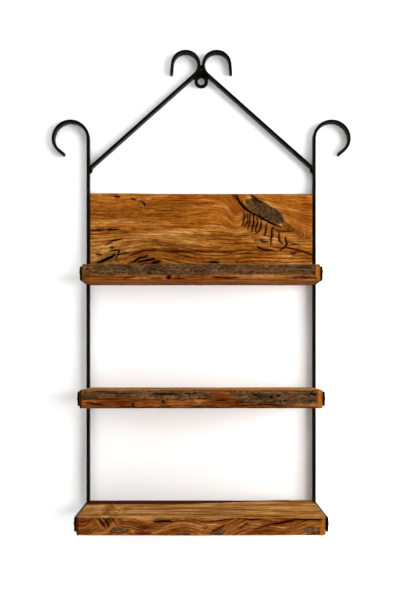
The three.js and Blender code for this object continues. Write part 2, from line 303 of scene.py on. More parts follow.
def late_wood(s, grain, spacing):
    """The dark side of each year's ring, which comes and goes along the board."""
    wander = s.math("MULTIPLY", s.noise(s.scaled(grain, 8, 26, 26), detail=3), 1.5)
    across = s.node("ShaderNodeSeparateXYZ", {0: grain}, output=2)
    phase = s.math("ADD", s.math("DIVIDE", across, spacing), wander)
    year = s.math("FRACT", phase)
    late = s.math("MULTIPLY", s.span(year, 0.55, 0.86), s.span(year, 0.9, 1.0, 1.0, 0.0))
    patchy = s.span(s.noise(s.scaled(grain, 14, 120, 120), detail=3), 0.32, 0.5)
    return s.math("MULTIPLY", s.math("MULTIPLY", late, patchy), s.attribute("ringed"))


def clean_wood(s, tone, tones, late, fleck, fibres):
    """Bare wood's colour, with its rings, flecks and fibres."""
    stops = list(zip((0.38, 0.46, 0.53, 0.62), tones, strict=True))
    colour = s.mix(late, s.ramp(tone, stops), rgb(40, 15, 3))
    colour = s.mix(s.math("MULTIPLY", fleck, FLECK_DEPTH), colour, rgb(36, 14, 3))
    fibre = s.node("ShaderNodeCombineColor", {0: fibres, 1: fibres, 2: fibres})
    return s.mix(FIBRE_CONTRAST, colour, fibre, "OVERLAY")


def weathered_skin(s, streaks, speckle):
    """The colour of old grey or mossy skin, and how much of it shows."""
    spots = s.position()
    mottle = s.math("MULTIPLY_ADD", speckle, 0.65, s.math("MULTIPLY", streaks, 0.35))
    olive = s.span(s.noise(s.scaled(spots, 30, 30, 60), detail=2), 0.45, 0.65)
    olive = s.math("MAXIMUM", olive, s.attribute("mossy"))
    grey = s.ramp(mottle, [(0.4, rgb(30, 18, 8)), (0.5, rgb(72, 48, 27)), (0.6, rgb(116, 86, 57))])
    green = s.ramp(mottle, [(0.4, rgb(14, 11, 6)), (0.5, rgb(40, 32, 18)), (0.6, rgb(84, 71, 46))])
    ragged = s.noise(s.scaled(spots, 60, 60, 190), detail=5, roughness=0.65)
    weather = s.math("ADD", s.attribute("weather"), s.math("SUBTRACT", ragged, 0.5))
    weather = s.math("MULTIPLY", s.span(weather, 0.3, 0.62), 0.9)
    return s.mix(olive, grey, green), weather


def wood(name, tones, ring_strength, ring_spacing, seed):
    """Old wood. Its attributes say where it is cracked, weathered, stained, pale or fresh cut. The pale
    mark also holds painted light on upper faces and painted highlights along split lips, and the cracks
    hold painted shade.
    """
    s = Surface(name)
    shift = (seed, seed * 0.37, seed * 0.11)
    inputs = {0: s.attribute("grain", "Vector"), 1: shift}
    grain = s.node("ShaderNodeVectorMath", inputs, operation="ADD")
    broad = s.noise(s.scaled(grain, 8, 70, 70), detail=3)
    streaks = s.noise(s.scaled(grain, 26, 330, 330), detail=6, roughness=0.72, distortion=0.25)
    fibres = s.noise(s.scaled(grain, 110, 820, 820), detail=5, roughness=0.8)
    flecks = s.noise(s.scaled(grain, 42, 430, 430), detail=4, roughness=0.65)
    fleck = s.span(flecks, 0.55, 0.64)
    speckle = s.noise(s.scaled(s.position(), 190, 190, 330), detail=5, roughness=0.75)
    late = late_wood(s, grain, ring_spacing)

    tone = s.math("MULTIPLY_ADD", broad, 0.35, s.math("MULTIPLY", streaks, 0.4))
    tone = s.math("MULTIPLY_ADD", fibres, 0.25, tone)
    lively = s.math("MULTIPLY_ADD", s.attribute("ringed"), 0.35, 0.75)
    tone = s.math("MULTIPLY_ADD", s.math("SUBTRACT", tone, 0.5), lively, 0.5)
    colour = clean_wood(s, tone, tones, s.math("MULTIPLY", late, ring_strength), fleck, fibres)

    # The pale mark turns wood to a paler tan: bleached and paler-finished wood, painted light on upper
    # faces, and painted highlights along split lips.
    tan_stops = [(0.41, rgb(82, 44, 10)), (0.5, rgb(146, 96, 38)), (0.59, rgb(204, 158, 92))]
    colour = s.mix(s.attribute("pale_and_painted_light"), colour, s.ramp(tone, tan_stops))
    stain = s.ramp(streaks, [(0.36, rgb(24, 6, 2)), (0.64, rgb(78, 28, 7))])
    colour = s.mix(s.attribute("stain"), colour, stain)
    skin, weather = weathered_skin(s, streaks, speckle)
    colour = s.mix(weather, colour, skin)
    cut = s.ramp(streaks, [(0.35, rgb(87, 43, 6)), (0.65, rgb(131, 77, 22))])
    colour = s.mix(s.attribute("fresh"), colour, cut)
    # Cracks and the nail hole go near-black: painted shade inside the open splits.
    crack = s.attribute("crack")
    colour = s.mix(s.span(crack, 0.1, 0.7), colour, rgb(7, 3, 1))

    s.set_input("Base Color", colour)
    rough = s.span(streaks, 0.3, 0.7, 0.8, 0.58)
    rough = s.math("ADD", rough, s.math("MULTIPLY", weather, 0.15), clamp=True)
    s.set_input("Roughness", rough)
    s.set_input("IOR", DRY_WOOD_IOR)
    height = s.math("ADD", streaks, s.math("MULTIPLY", fibres, 0.4))
    height = s.math("SUBTRACT", height, s.math("MULTIPLY", late, 0.6))
    height = s.math("SUBTRACT", height, s.math("MULTIPLY", fleck, 0.7))
    height = s.math("ADD", height, s.math("MULTIPLY", s.math("MULTIPLY", speckle, weather), 1.4))
    height = s.math("SUBTRACT", height, s.math("MULTIPLY", crack, 1.2))
    s.set_input("Normal", s.bump(height, 0.7, 0.0012))
    return s.material


def black_iron(name, base, brown, rough, bump_strength):
    """Forged flat bar: scale and wax over hammer marks, browner where it has worn."""
    s = Surface(name)
    place = s.position()
    marks = s.noise(s.scaled(place, 95, 95, 95), detail=3)
    scale = s.noise(s.scaled(place, 520, 520, 520), detail=4, roughness=0.65)
    worn = s.span(s.noise(s.scaled(place, 42, 42, 42), detail=4), 0.5, 0.72)
    colour = s.mix(worn, base, brown)
    grain = s.node("ShaderNodeCombineColor", {0: scale, 1: scale, 2: scale})
    colour = s.mix(0.5, colour, grain, "OVERLAY")
    s.set_input("Base Color", colour)
    s.set_input("Specular IOR Level", IRON_SPECULAR)
    s.set_input("Roughness", s.span(scale, 0.3, 0.7, rough - 0.08, rough + 0.12))
    height = s.math("ADD", marks, s.math("MULTIPLY", scale, 0.35))
    s.set_input("Normal", s.bump(height, bump_strength, 0.0008))
    return s.material


def screw_metal():
    """Blackened steel with bright rubs on its high places."""
    s = Surface("screw_metal")
    place = s.position()
    grime = s.noise(s.scaled(place, 700, 700, 700), detail=4)
    colour = s.ramp(grime, [(0.35, rgb(18, 15, 13)), (0.75, rgb(64, 56, 50))])
    s.set_input("Base Color", colour)
    s.set_input("Metallic", 0.75)
    s.set_input("Roughness", s.span(grime, 0.3, 0.7, 0.3, 0.52))
    s.set_input("Normal", s.bump(grime, 0.25, 0.0003))
    return s.material


PANEL_TONES = (rgb(80, 34, 4), rgb(124, 65, 12), rgb(150, 88, 26), rgb(190, 132, 72))
SHELF_TONES = (rgb(56, 21, 2), rgb(102, 51, 12), rgb(134, 78, 30), rgb(176, 120, 70))

# Each shelf's rings: their strength and spacing, and the seed of its figure.
SHELF_RINGS = {
    "top": (0.6, 4.6 * MM, 3.1),
    "middle": (0.6, 5.0 * MM, 5.7),
    "bottom": (0.7, 5.6 * MM, 8.3),
}

panel_wood = wood("panel_wood", PANEL_TONES, ring_strength=0.95, ring_spacing=5.8 * MM, seed=0.0)
shelf_wood = {
    name: wood(f"{name}_shelf_wood", SHELF_TONES, *rings) for name, rings in SHELF_RINGS.items()
}
iron = black_iron("black_iron", rgb(5, 3, 2), rgb(16, 9, 6), rough=0.36, bump_strength=0.3)
weld = black_iron("weld_metal", rgb(5, 3, 2), rgb(14, 8, 5), rough=0.42, bump_strength=0.45)
steel = screw_metal()


# ---- Wood: the boards ---------------------------------------------------------------------


# A face counts as the front or the top where its normal leans this far that way.
FACING = 0.6

# How far in from each notch the ends are drawn, and the rows of points just in front of it.
NOTCH_BLEND = 8 * MM
NOTCH_ROWS = np.array([0.05, 0.6]) * MM

# A drawn crack is a little wider than stated, with a stained halo round it, in millimetres.
CRACK_SPREAD = 1.15
HALO_SPREAD = 3.2
HALO_MARGIN = 2.5
HALO_STAIN = 0.6


class Board:
    """The outer skin of a board as a lattice of points, rounded, chamfered, worn and cracked.

    u and v are a point's place in millimetres along the board from its middle, and up from its
    lower face. d is its depth from the front face.
    """

    def __init__(self, node, steps, radius, chamfers=(0.0, 0.0), notch=None):
        self.node = node
        self.low, self.high = low_high(node)
        self.radius = radius
        axes = [self.stations(axis, steps[axis]) for axis in range(3)]
        if notch:
            axes[1] = np.sort(np.concatenate([axes[1], notch[1] - NOTCH_ROWS]))
        shape = [len(a) for a in axes]
        skin = np.zeros(shape, bool)
        for axis in range(3):
            ends = [slice(None)] * 3
            for end in (0, -1):
                ends[axis] = end
                skin[tuple(ends)] = True
        index = np.full(shape, -1)
        index[skin] = np.arange(skin.sum())
        self.points = np.stack(np.meshgrid(*axes, indexing="ij"), -1)[skin]
        self.faces = self.quads(index)
        self.round_edges()
        self.cut_chamfers(chamfers)
        if notch:
            self.cut_notches(*notch)
        self.u = self.points[:, 0] / MM
        self.v = (self.points[:, 2] - self.low[2]) / MM
        self.d = (self.points[:, 1] - self.low[1]) / MM
        self.marks = {
            key: np.zeros(len(self.points))
            for key in ("crack", "weather", "mossy", "stain", "pale_and_painted_light", "fresh", "ringed")
        }
        self.sink = np.zeros(len(self.points))
        self.grain = self.points.copy()

    def stations(self, axis, step):
        low, high, edge = self.low[axis], self.high[axis], self.radius
        near = edge * np.array([0, 0.2, 0.5])
        count = max(2, round((high - low - 2 * edge) / step) + 1)
        between = np.linspace(low + edge, high - edge, count)
        return np.concatenate([low + near, between, (high - near)[::-1]])

    @staticmethod
    def quads(index):
        faces = []
        for axis in range(3):
            for end in (0, -1):
                sheet = np.take(index, end, axis=axis)
                a, b = sheet[:-1, :-1], sheet[1:, :-1]
                c, d = sheet[1:, 1:], sheet[:-1, 1:]
                flip = (end == 0) == (axis != 1)
                loop = (a, d, c, b) if flip else (a, b, c, d)
                faces.append(np.stack(loop, -1).reshape(-1, 4))
        return np.concatenate(faces)

    def round_edges(self):
        inner = np.clip(self.points, self.low + self.radius, self.high - self.radius)
        out = self.points - inner
        self.normal = out / np.linalg.norm(out, axis=1, keepdims=True)
        self.points = inner + self.normal * self.radius

    def cut_chamfers(self, chamfers):
        """Planes off the two upright corners at the front, each as wide as its chamfer."""
        self.chamfered = np.zeros(len(self.points))
        for sign, size in zip((-1, 1), chamfers, strict=True):
            if not size:
                continue
            end = self.high[0] if sign > 0 else -self.low[0]
            along = sign * self.points[:, 0] - (end - size)
            back = self.points[:, 1] - (self.low[1] + size)
            past = np.maximum(along - back - size, 0)
            self.points[:, 0] -= sign * past / 2
            self.points[:, 1] += past / 2
            cut = past > 1e-6
            self.normal[cut] = np.array([sign, -1, 0]) / math.sqrt(2)
            self.chamfered = np.maximum(self.chamfered, cut)

    def cut_notches(self, waist, front_y):
        """Draws the rear ends in to a waist, where the uprights pass."""
        full = self.high[0]
        start = waist - NOTCH_BLEND
        x = self.points[:, 0]
        here = (np.abs(x) > start) & (self.points[:, 1] > front_y - NOTCH_ROWS.mean())
        drawn = start + (np.abs(x) - start) * (waist - start) / (full - start)
        self.points[:, 0] = np.where(here, np.sign(x) * drawn, x)

    @property
    def front(self):
        return (self.normal[:, 1] < -FACING).astype(float)

    @property
    def top(self):
        return (self.normal[:, 2] > FACING).astype(float)

    def wobbled(self, reach, seed):
        """The places on the front with a small irregular shift, in millimetres."""
        du = noise(self.points, 9 * MM, seed) * reach
        dv = noise(self.points, 7 * MM, seed + 50) * reach
        return self.u + du, self.v + dv

    def cloud(self, cell, seed, low, high):
        """Ragged patches about as big as a cell given in millimetres."""
        return smooth(layered(self.points, np.array(cell) * MM, seed), low, high)

    def mark(self, key, values):
        """Lifts a mark to the given values where they are higher."""
        self.marks[key] = np.maximum(self.marks[key], values)

    def mark_spots(self, key, share, places, ovals, where):
        """Soft spots of a mark, each an oval with its centre, radii and turn."""
        for oval in ovals:
            self.mark(key, share * glow(patch(*places, *oval)) * where)

    def crack(self, strokes, depth, seed):
        """Open cracks in the front, each a line of (u, v) points and a width. They are sunk, and their
        near-black colour is painted shade.
        """
        u, v = self.wobbled(reach=0.9, seed=seed)
        margin = 6
        for points, width in strokes:
            low, high = np.min(points, axis=0) - margin, np.max(points, axis=0) + margin
            near = (u > low[0]) & (u < high[0]) & (v > low[1]) & (v < high[1]) & (self.front > 0)
            inside, halo = np.zeros(len(u)), np.zeros(len(u))
            inside[near] = stroke(u[near], v[near], points, CRACK_SPREAD * width)
            halo[near] = stroke(u[near], v[near], points, HALO_SPREAD * width + HALO_MARGIN)
            self.mark("crack", inside)
            self.mark("stain", HALO_STAIN * halo)
            self.sink = np.maximum(self.sink, inside * depth * min(1, width / 2))

    def wear(self, seed, edge_wear, swell):
        """Sinks the whole skin a little, more along its edges, and never raises it."""
        p = self.points
        rolling = layered(p, np.array([70, 40, 40]) * MM, seed) * 0.5 + 0.5
        ridges = layered(p, np.array([60, 5, 5]) * MM, seed + 9) * 0.5 + 0.5
        gap = np.minimum(self.points - self.low, self.high - self.points) / MM
        gap.sort(axis=1)
        near_edge = np.exp(-gap[:, 1] / 3.0)
        bites = smooth(layered(p, np.array([26, 9, 9]) * MM, seed + 20), 0.05, 0.7)
        self.sink += swell * rolling + 0.22 * ridges + near_edge * (0.25 + edge_wear * bites)

    def wear_lip(self, amount, seed):
        """Rounds the upper front edge off, unevenly. amount is in millimetres, along the board."""
        below = (self.high[2] - self.points[:, 2]) / MM
        bites = layered(self.points, np.array([45, 30, 30]) * MM, seed) * 0.5 + 0.7
        near_lip = np.exp(-(below + self.d) / (1 + amount))
        self.sink += near_lip * amount * bites * (1 - self.chamfered)

    def finish(self, material, slot):
        self.points = self.points - self.normal * (self.sink * MM)[:, None]
        name = f"{self.node}_wood"
        marks = {key: np.clip(value, 0, 1) for key, value in self.marks.items()}
        marks["grain"] = self.grain
        return new_piece(name, self.points, self.faces, material, [self.node], marks)


# The oval scar of a branch on the back board, and the rim round it. The grain parts round both.
SCAR_CENTRE = (119, 110)
SCAR_RADII = (41, 13.5)
SCAR_TURN = -30
RIM_CENTRE = (121, 108)
RIM_RADII = (48, 19)

# The back board's upper edge falls away to the right by this much, in millimetres.
PANEL_TAPER = 6

# Cracks, each with its points and its greatest width.
PANEL_CRACKS = [
    # the long split under the scar, and the short one over it
    ([(64, 140), (72, 125), (86, 111), (103, 102)], 3.4),
    ([(100, 103), (117, 94), (131, 86), (147, 81)], 3.2), ([(108, 99), (122, 91)], 4.2),
    ([(92, 140), (102, 132), (114, 124)], 2.2),
    # checks hanging from the split
    ([(79, 109), (81, 102), (80, 92), (77, 81)], 1.7),
    ([(85, 106), (87, 95), (87, 89), (82, 78)], 1.8),
    ([(91, 105), (91, 95), (90, 85), (87, 74)], 1.6),
    ([(97, 103), (98, 92), (97, 81), (94, 71)], 2.4),
    ([(104, 98), (105, 89), (103, 77), (100, 70)], 2.3),
    ([(112, 94), (112, 81), (109, 73), (101, 67)], 2.3), ([(122, 86), (121, 73), (118, 63)], 2.0),
    ([(136, 80), (132, 73), (133, 64), (130, 56), (130, 46)], 2.4),
    ([(145, 68), (146, 59), (147, 53), (152, 48)], 2.2),
    ([(157, 60), (158, 53), (160, 49), (156, 42), (147, 36)], 2.3),
    ([(139, 73), (153, 71), (170, 72)], 1.3),
    # small ones to the right and below
    ([(160, 51), (184, 46)], 1.2), ([(158, 41), (185, 35), (199, 30), (210, 24)], 1.7),
    ([(168, 30), (173, 29), (178, 33)], 1.5), ([(110, 55), (116, 52), (126, 52)], 2.2),
    ([(105, 42), (118, 37), (134, 35)], 2.6), ([(16, 13), (32, 14)], 3.2),
    # the left-hand side
    ([(-211, 73), (-182, 74), (-155, 75)], 2.2), ([(-181, 45), (-164, 53), (-150, 57)], 1.5),
    ([(-194, 12), (-182, 17), (-170, 23), (-162, 28)], 5.4),
    ([(-171, 35), (-162, 36), (-154, 35), (-157, 26), (-161, 18)], 2.0),
    ([(-170, 42), (-166, 40)], 2.6), ([(-156, 28), (-136, 31)], 2.0),
    ([(-134, 27), (-119, 32), (-101, 36), (-84, 36)], 1.7),
    ([(-84, 36), (-52, 33), (-20, 34), (20, 33), (58, 31)], 1.2),
    ([(-128, 13), (-116, 21), (-100, 25)], 3.2), ([(-119, 13), (-101, 17), (-87, 20)], 3.6),
    ([(-93, 12), (-78, 14)], 4.2), ([(-197, 28), (-186, 27)], 2.0),
    ([(-116, 128), (-108, 124), (-105, 119)], 1.6), ([(-164, 137), (-153, 135)], 2.0),
    ([(-132, 133), (-122, 130)], 1.5),
]


# Red-brown bands, each with a width and a depth of colour: along the split under the scar, under
# the checks, at the lower left and to the right of the scar.
PANEL_DARK_BANDS = [
    ([(62, 138), (76, 122), (95, 107), (120, 94), (148, 80)], 11, 0.85),
    ([(96, 60), (112, 52), (136, 46), (152, 46)], 10, 0.4),
    ([(100, 40), (120, 36), (142, 34)], 9, 0.5),
    ([(-200, 12), (-176, 20), (-158, 28)], 9, 0.55),
    ([(-136, 12), (-112, 20), (-84, 17)], 12, 0.4),
    ([(-138, 28), (-100, 38), (-60, 36), (0, 36)], 3.5, 0.5),
    ([(152, 84), (168, 76), (186, 66), (204, 56)], 20, 0.6),
]

# Light lines: a small feather in the upper left, and painted highlights on the lower lips of the
# left-hand and right-hand splits.
PALE_LINE_WIDTH = 4.5
PANEL_PALE_AND_HIGHLIGHT_LINES = [
    [(-118, 134), (-112, 122), (-108, 110)],
    [(-100, 134), (-104, 122), (-109, 112)],
    [(-211, 70), (-190, 71), (-168, 72)],
    [(150, 68), (162, 66), (176, 66)],
]


def panel_grain(board):
    """Grain that arches over the lower left of the board and parts round the scar."""
    u, v = board.u, board.v
    lower = smooth(105 - v, 0, 90)
    reach = 42 + 0.9 * v
    arch = 15 * lower * (1 - glow((u + 95) / reach))
    away = patch(u, v, SCAR_CENTRE, SCAR_RADII, SCAR_TURN)
    axis_height = SCAR_CENTRE[1] + (u - SCAR_CENTRE[0]) * math.tan(math.radians(SCAR_TURN))
    side = np.tanh((v - axis_height) / 6)
    parting = -17 * side * np.exp(-((np.maximum(away, 1) - 1) ** 2) / 1.4)
    swirl = 26 * glow((u - 66) / 17) * smooth(v, 55, 105)
    ripple = layered(board.points, np.array([70, 30, 30]) * MM, 5) * 2.4
    board.grain[:, 2] += (arch + parting + swirl + ripple) * MM


# Ovals, each with its centre, radii and turn: darker wood, and wood that has bleached.
PANEL_DUSK = [
    ((-190, 123), (26, 6)), ((-160, 104), (60, 16)), ((-60, 112), (60, 14)),
    ((181, 72), (26, 18), -25), ((196, 100), (16, 26)), ((72, 122), (9, 20), 30),
    ((60, 108), (10, 16)), ((118, 38), (22, 6), -8), ((-40, 124), (70, 5)),
    ((-110, 18), (34, 8), 12), ((190, 136), (26, 6)),
]
PANEL_SUNNED = [((-70, 54), (110, 30)), ((-185, 30), (40, 22)), ((118, 58), (52, 24), -12)]


def mark_scar(board, u, v):
    """A mossy hollow where a branch was, with a pale rim."""
    scar = smooth(-patch(u, v, SCAR_CENTRE, SCAR_RADII, SCAR_TURN), -1.12, -0.86) * board.front
    rim = smooth(-patch(u, v, RIM_CENTRE, RIM_RADII, SCAR_TURN), -1.08, -0.9) * board.front
    rim = np.clip(rim - scar, 0, 1)
    board.marks["weather"] = scar * 1.1
    board.marks["mossy"] = scar
    board.marks["pale_and_painted_light"] = rim * 0.75
    board.sink += scar * 1.3 + rim * 0.3


def make_back_panel():
    board = Board("back_panel", steps=(1.3 * MM, 2.5 * MM, 1.1 * MM), radius=2.2 * MM)
    panel_grain(board)
    u, v = board.wobbled(reach=1.6, seed=71)
    front = board.front
    mark_scar(board, u, v)
    below = smooth(95 - v, 0, 30)
    quiet = glow(patch(u, v, (178, 80), (44, 26)))
    board.marks["ringed"] = (0.35 + 0.65 * below) * (1 - 0.8 * quiet)
    board.mark_spots("stain", 0.4, (u, v), PANEL_DUSK, front)
    for points, width, depth in PANEL_DARK_BANDS:
        board.mark("stain", depth * stroke(u, v, points, width) * front)
    board.mark_spots("pale_and_painted_light", 0.55, (u, v), PANEL_SUNNED, front)
    # Pale lines: two of them are painted highlights along the lips of splits.
    for points in PANEL_PALE_AND_HIGHLIGHT_LINES:
        board.mark("pale_and_painted_light", 0.7 * stroke(u, v, points, PALE_LINE_WIDTH) * front)
    board.crack(PANEL_CRACKS, depth=2.0, seed=31)
    board.wear(seed=11, edge_wear=0.9, swell=0.5)
    board.sink += PANEL_TAPER * smooth(board.u, -150, 60) * np.clip(board.normal[:, 2], 0, 1)
    return board.finish(panel_wood, "panel_wood")


def ends_marked(board, fresh):
    """Chamfers show fresh or dark wood, as each end was cut lately or long ago."""
    for sign, share in zip((-1, 1), fresh, strict=True):
        here = board.chamfered * (sign * board.u > 0)
        board.mark("fresh", here * max(share, 0))
        board.mark("stain", here * max(-share, 0))


def shelf_board(name, chamfers):
    """A plank with its two chamfers' sizes in millimetres, notched round the uprights."""
    notch = (-upright_high[0] - CLEARANCE, upright_low[1] - CLEARANCE)
    steps = (1.6 * MM, 3.5 * MM, 1.2 * MM)
    return Board(f"{name}_shelf", steps, radius=2.4 * MM, chamfers=np.array(chamfers) * MM, notch=notch)


TOP_NAIL_HOLE = [([(-58.2, 4.0), (-56.8, 4.0)], 10.5)]
TOP_CRACKS = [
    ([(-51, 1.5), (-40, 2.5), (-30, 1.8)], 2.0), ([(-136, 4), (-116, 6)], 1.3),
    ([(-90, 2), (-70, 2.6)], 1.5), ([(150, 4.5), (206, 3.5)], 1.4), ([(20, 5), (66, 4)], 1.1),
]
TOP_STAINS = [((-22, 24), (10, 7)), ((186, 20), (18, 8))]


def make_top_shelf():
    """Its front is mossy above and bare below."""
    board = shelf_board("top", chamfers=(8, 9.5))
    u, v = board.wobbled(reach=1.5, seed=81)
    upper = smooth(v + 2.2 * layered(board.points, 40 * MM, 82), 7.5, 11.5) * board.front
    board.marks["weather"] = 0.95 * upper * (1 - board.chamfered)
    board.marks["mossy"] = 0.45 * upper
    board.marks["ringed"][:] = 0.8
    board.crack(TOP_NAIL_HOLE, depth=4.0, seed=83)
    board.crack(TOP_CRACKS, depth=1.2, seed=84)
    board.mark_spots("stain", 0.4, (u, v), TOP_STAINS, board.front)
    # The upper face is made paler: partly a paler dry finish, partly painted light from above.
    board.marks["pale_and_painted_light"] = 0.6 * board.top + 0.6 * board.chamfered * (board.u < 0)
    ends_marked(board, fresh=(0.5, 1.0))
    board.wear(seed=12, edge_wear=1.3, swell=0.6)
    board.wear_lip(0.8, seed=85)
    return board.finish(shelf_wood["top"], "shelf_wood")


MIDDLE_STAINS = [
    ((-118, 7), (6, 5)), ((-65, 11), (7, 6)), ((-190, 10), (16, 3), -12),
    ((-140, 14), (20, 2.5), -6), ((20, 12), (22, 4)), ((-20, 9), (16, 4), 8), ((66, 12), (12, 6)),
    ((108, 14), (14, 5)), ((150, 8), (20, 4)), ((190, 13), (12, 4)),
]
MIDDLE_CRACKS = [
    ([(-84, 26), (-62, 25), (-44, 25.5)], 2.8), ([(-30, 26), (-8, 27)], 1.5),
    ([(-160, 27), (-140, 26), (-118, 27)], 1.4), ([(120, 21), (122, 19.5)], 4.4),
    ([(131, 24), (135, 23)], 3.2), ([(143, 15), (145, 12)], 3.2), ([(88, 24), (100, 23)], 2.4),
    ([(186, 26), (200, 25)], 2.8), ([(24, 14.5), (46, 15.5)], 1.6),
    ([(-200, 10), (-170, 6)], 1.7), ([(-120, 10), (-118, 6)], 3.0), ([(-67, 13), (-64, 10)], 3.4),
    ([(60, 6), (110, 7), (140, 5)], 1.5), ([(-150, 3), (-110, 4)], 1.4),
    ([(-20, 4), (30, 3)], 1.5),
]


def make_middle_shelf():
    """Its front has a ragged grey band above a red-brown one."""
    board = shelf_board("middle", chamfers=(4.5, 9.5))
    u, v = board.wobbled(reach=1.5, seed=91)
    front = board.front * (1 - board.chamfered)
    height = 17 + 2.5 * np.sin(u / 31) - 7 * smooth(u, 40, 90)
    band = smooth(v, height - 4, height + 4) * board.cloud((40, 30, 14), 92, -0.75, -0.1)
    bare = glow(patch(u, v, (34, 24), (20, 8)))
    board.marks["weather"] = band * front * (1 - bare)
    board.marks["ringed"][:] = 0.9
    board.mark("stain", 0.8 * smooth(6 - v, -1, 4) * front)
    board.mark("stain", 0.5 * board.cloud((22, 12, 8), 95, -0.5, 0.3) * front)
    board.mark_spots("stain", 0.75, (u, v), MIDDLE_STAINS, front)
    board.crack(MIDDLE_CRACKS, depth=1.8, seed=93)
    # The upper face is made paler: partly a paler dry finish, partly painted light from above.
    board.marks["pale_and_painted_light"] = 0.55 * board.top
    ends_marked(board, fresh=(-0.8, 1.0))
    board.wear(seed=13, edge_wear=1.5, swell=0.6)
    board.wear_lip(1.2, seed=94)
    return board.finish(shelf_wood["middle"], "shelf_wood")


def bottom_grain(board):
    """Grain that climbs to the right across the front and turns round a burl near the left."""
    u = board.u
    burl = 13 * glow(patch(u, board.v, (-160, 21), (26, 14))) * np.sin(u / 5.5)
    climb = -10 * (smooth(u, 0, 90) + smooth(u, 95, 190)) + 6 * np.sin(u / 19)
    ripple = layered(board.points, np.array([40, 25, 25]) * MM, 106) * 4
    board.grain[:, 2] += (burl + climb * board.front + ripple) * MM


BOTTOM_OLIVE = [((-137, 10), (16, 6)), ((30, 7), (11, 6), 30), ((186, 10), (15, 6))]
BOTTOM_STAINS = [
    ((-195, 27), (24, 5)), ((-200, 8), (22, 5)), ((-98, 13), (12, 8)), ((-45, 9), (9, 6)),
    ((12, 24), (20, 3)), ((96, 8), (30, 4)), ((184, 11), (17, 6)), ((-20, 26), (30, 3)),
]
BOTTOM_CRACKS = [
    ([(-172, 30), (-165, 20), (-163, 15)], 2.0), ([(-166, 31), (-158, 22), (-155, 16)], 2.4),
    ([(-160, 31), (-152, 24)], 1.8), ([(-153, 31), (-146, 26)], 1.6),
    ([(-80, 24), (-64, 25), (-49, 24)], 3.0),
    ([(-2, 24), (30, 25), (57, 30), (84, 28), (112, 31)], 1.5),
    ([(117, 20), (132, 22), (147, 25), (172, 29)], 2.2), ([(165, 27), (186, 28), (208, 27)], 1.8),
    ([(64, 14), (74, 19), (80, 22)], 1.6), ([(88, 11), (104, 16), (122, 21)], 1.3),
    ([(16, 5), (28, 12), (40, 20)], 1.5), ([(-112, 7), (-100, 4), (-84, 5)], 1.6),
]

# Ovals on its upper face, measured along it and forward from its rear edge.
BOTTOM_TOP_STAINS = [
    ((-20, 148), (75, 5)), ((60, 100), (48, 5)), ((-180, 150), (40, 8)), ((30, 60), (20, 4)),
]


def mark_bottom_top(board, u):
    """The upper face: a dark sunken strip along the wall, and stains in front of it."""
    forward = (board.high[1] - board.points[:, 1]) / MM
    strip = 46 - 34 * smooth(u, -60, 135) + 5 * layered(board.points, 60 * MM, 104)
    back_strip = smooth(strip - forward, -3, 3) * board.top * smooth(150 - u, 0, 30)
    board.mark("stain", 0.95 * back_strip)
    board.sink += 0.8 * back_strip
    board.mark_spots("stain", 0.6, (u, forward), BOTTOM_TOP_STAINS, board.top)
    # The upper face is made paler, except on the dark strip: partly a paler dry finish, partly painted
    # light from above.
    board.marks["pale_and_painted_light"] = 0.8 * board.top * (1 - back_strip)


def make_bottom_shelf():
    """Its front is scuffed and stained, with a few olive patches."""
    board = shelf_board("bottom", chamfers=(4.5, 10.5))
    bottom_grain(board)
    u, v = board.wobbled(reach=1.5, seed=101)
    front = board.front * (1 - board.chamfered)
    board.marks["ringed"][:] = 0.9
    for oval in BOTTOM_OLIVE:
        board.mark("weather", smooth(-patch(u, v, *oval), -1.3, -0.7) * front)
    board.mark("weather", 0.55 * board.cloud((18, 14, 9), 107, -0.1, 0.7) * front)
    board.mark_spots("stain", 0.72, (u, v), BOTTOM_STAINS, front)
    board.crack(BOTTOM_CRACKS, depth=1.8, seed=103)
    mark_bottom_top(board, u)
    ends_marked(board, fresh=(-0.8, 1.0))
    board.wear(seed=14, edge_wear=1.6, swell=0.7)
    board.wear_lip(1.5 + 2.5 * smooth(u, -60, 180), seed=105)
    return board.finish(shelf_wood["bottom"], "shelf_wood")


# ---- Iron: bars bent from flat stock --------------------------------------------------------


def heading(angle):
    """The way along a bar, in X and Z."""
    return np.array([math.cos(angle), math.sin(angle)])


def leftward(angle):
    """The way across a bar, a quarter turn to the left of its heading."""
    return np.array([-math.sin(angle), math.cos(angle)])


def bent_path(x, z, start_angle, runs):
    """Places on a bar's centreline with the bar's angle at each, through straights and bends."""
    step, bend_step = 3 * MM, 4
    place = np.array([x, z])
    angle = math.radians(start_angle)
    stations = [(place.copy(), angle)]
    for run in runs:
        if "length" in run:
            count = max(1, round(run["length"] / step))
            for _ in range(count):
                place = place + run["length"] / count * heading(angle)
                stations.append((place.copy(), angle))
            continue
        count = math.ceil(run["bend"] / bend_step)
        turn = math.radians(run["bend"] / count)
        centre = place + run["radius"] * leftward(angle)
        for _ in range(count):
            angle += turn
            place = centre - run["radius"] * leftward(angle)
            stations.append((place.copy(), angle))
    return stations


def bar_section(thickness, width, corner):
    """Points round a flat bar's section with rounded corners, with each one's way out."""
    across, along = thickness / 2 - corner, width / 2 - corner
    spacing = 1.6 * MM
    points, ways = [], []
    corners = [(across, along), (-across, along), (-across, -along), (across, -along)]
    for quarter, centre in enumerate(corners):
        for angle in np.radians(90 * quarter + np.array([0, 30, 60, 90])):
            points.append(centre + corner * heading(angle))
            ways.append(heading(angle))
        way = ways[-1]
        here, there = points[-1], corners[(quarter + 1) % 4] + corner * way
        count = round(np.linalg.norm(there - here) / spacing)
        for n in range(1, count):
            points.append(here + (there - here) * n / count)
            ways.append(way)
    return np.array(points), np.array(ways)


def placed(section, place, way, y):
    """A section's points round a place, with its first axis turned to way and its second along Y."""
    x, z = place[:, None] + way[:, None] * section[:, 0]
    return np.column_stack([x, y + section[:, 1], z])


# How deep the hammer's wide and narrow dents are, in millimetres.
HAMMER_DENTS = 0.09
FACET_DENTS = 0.05


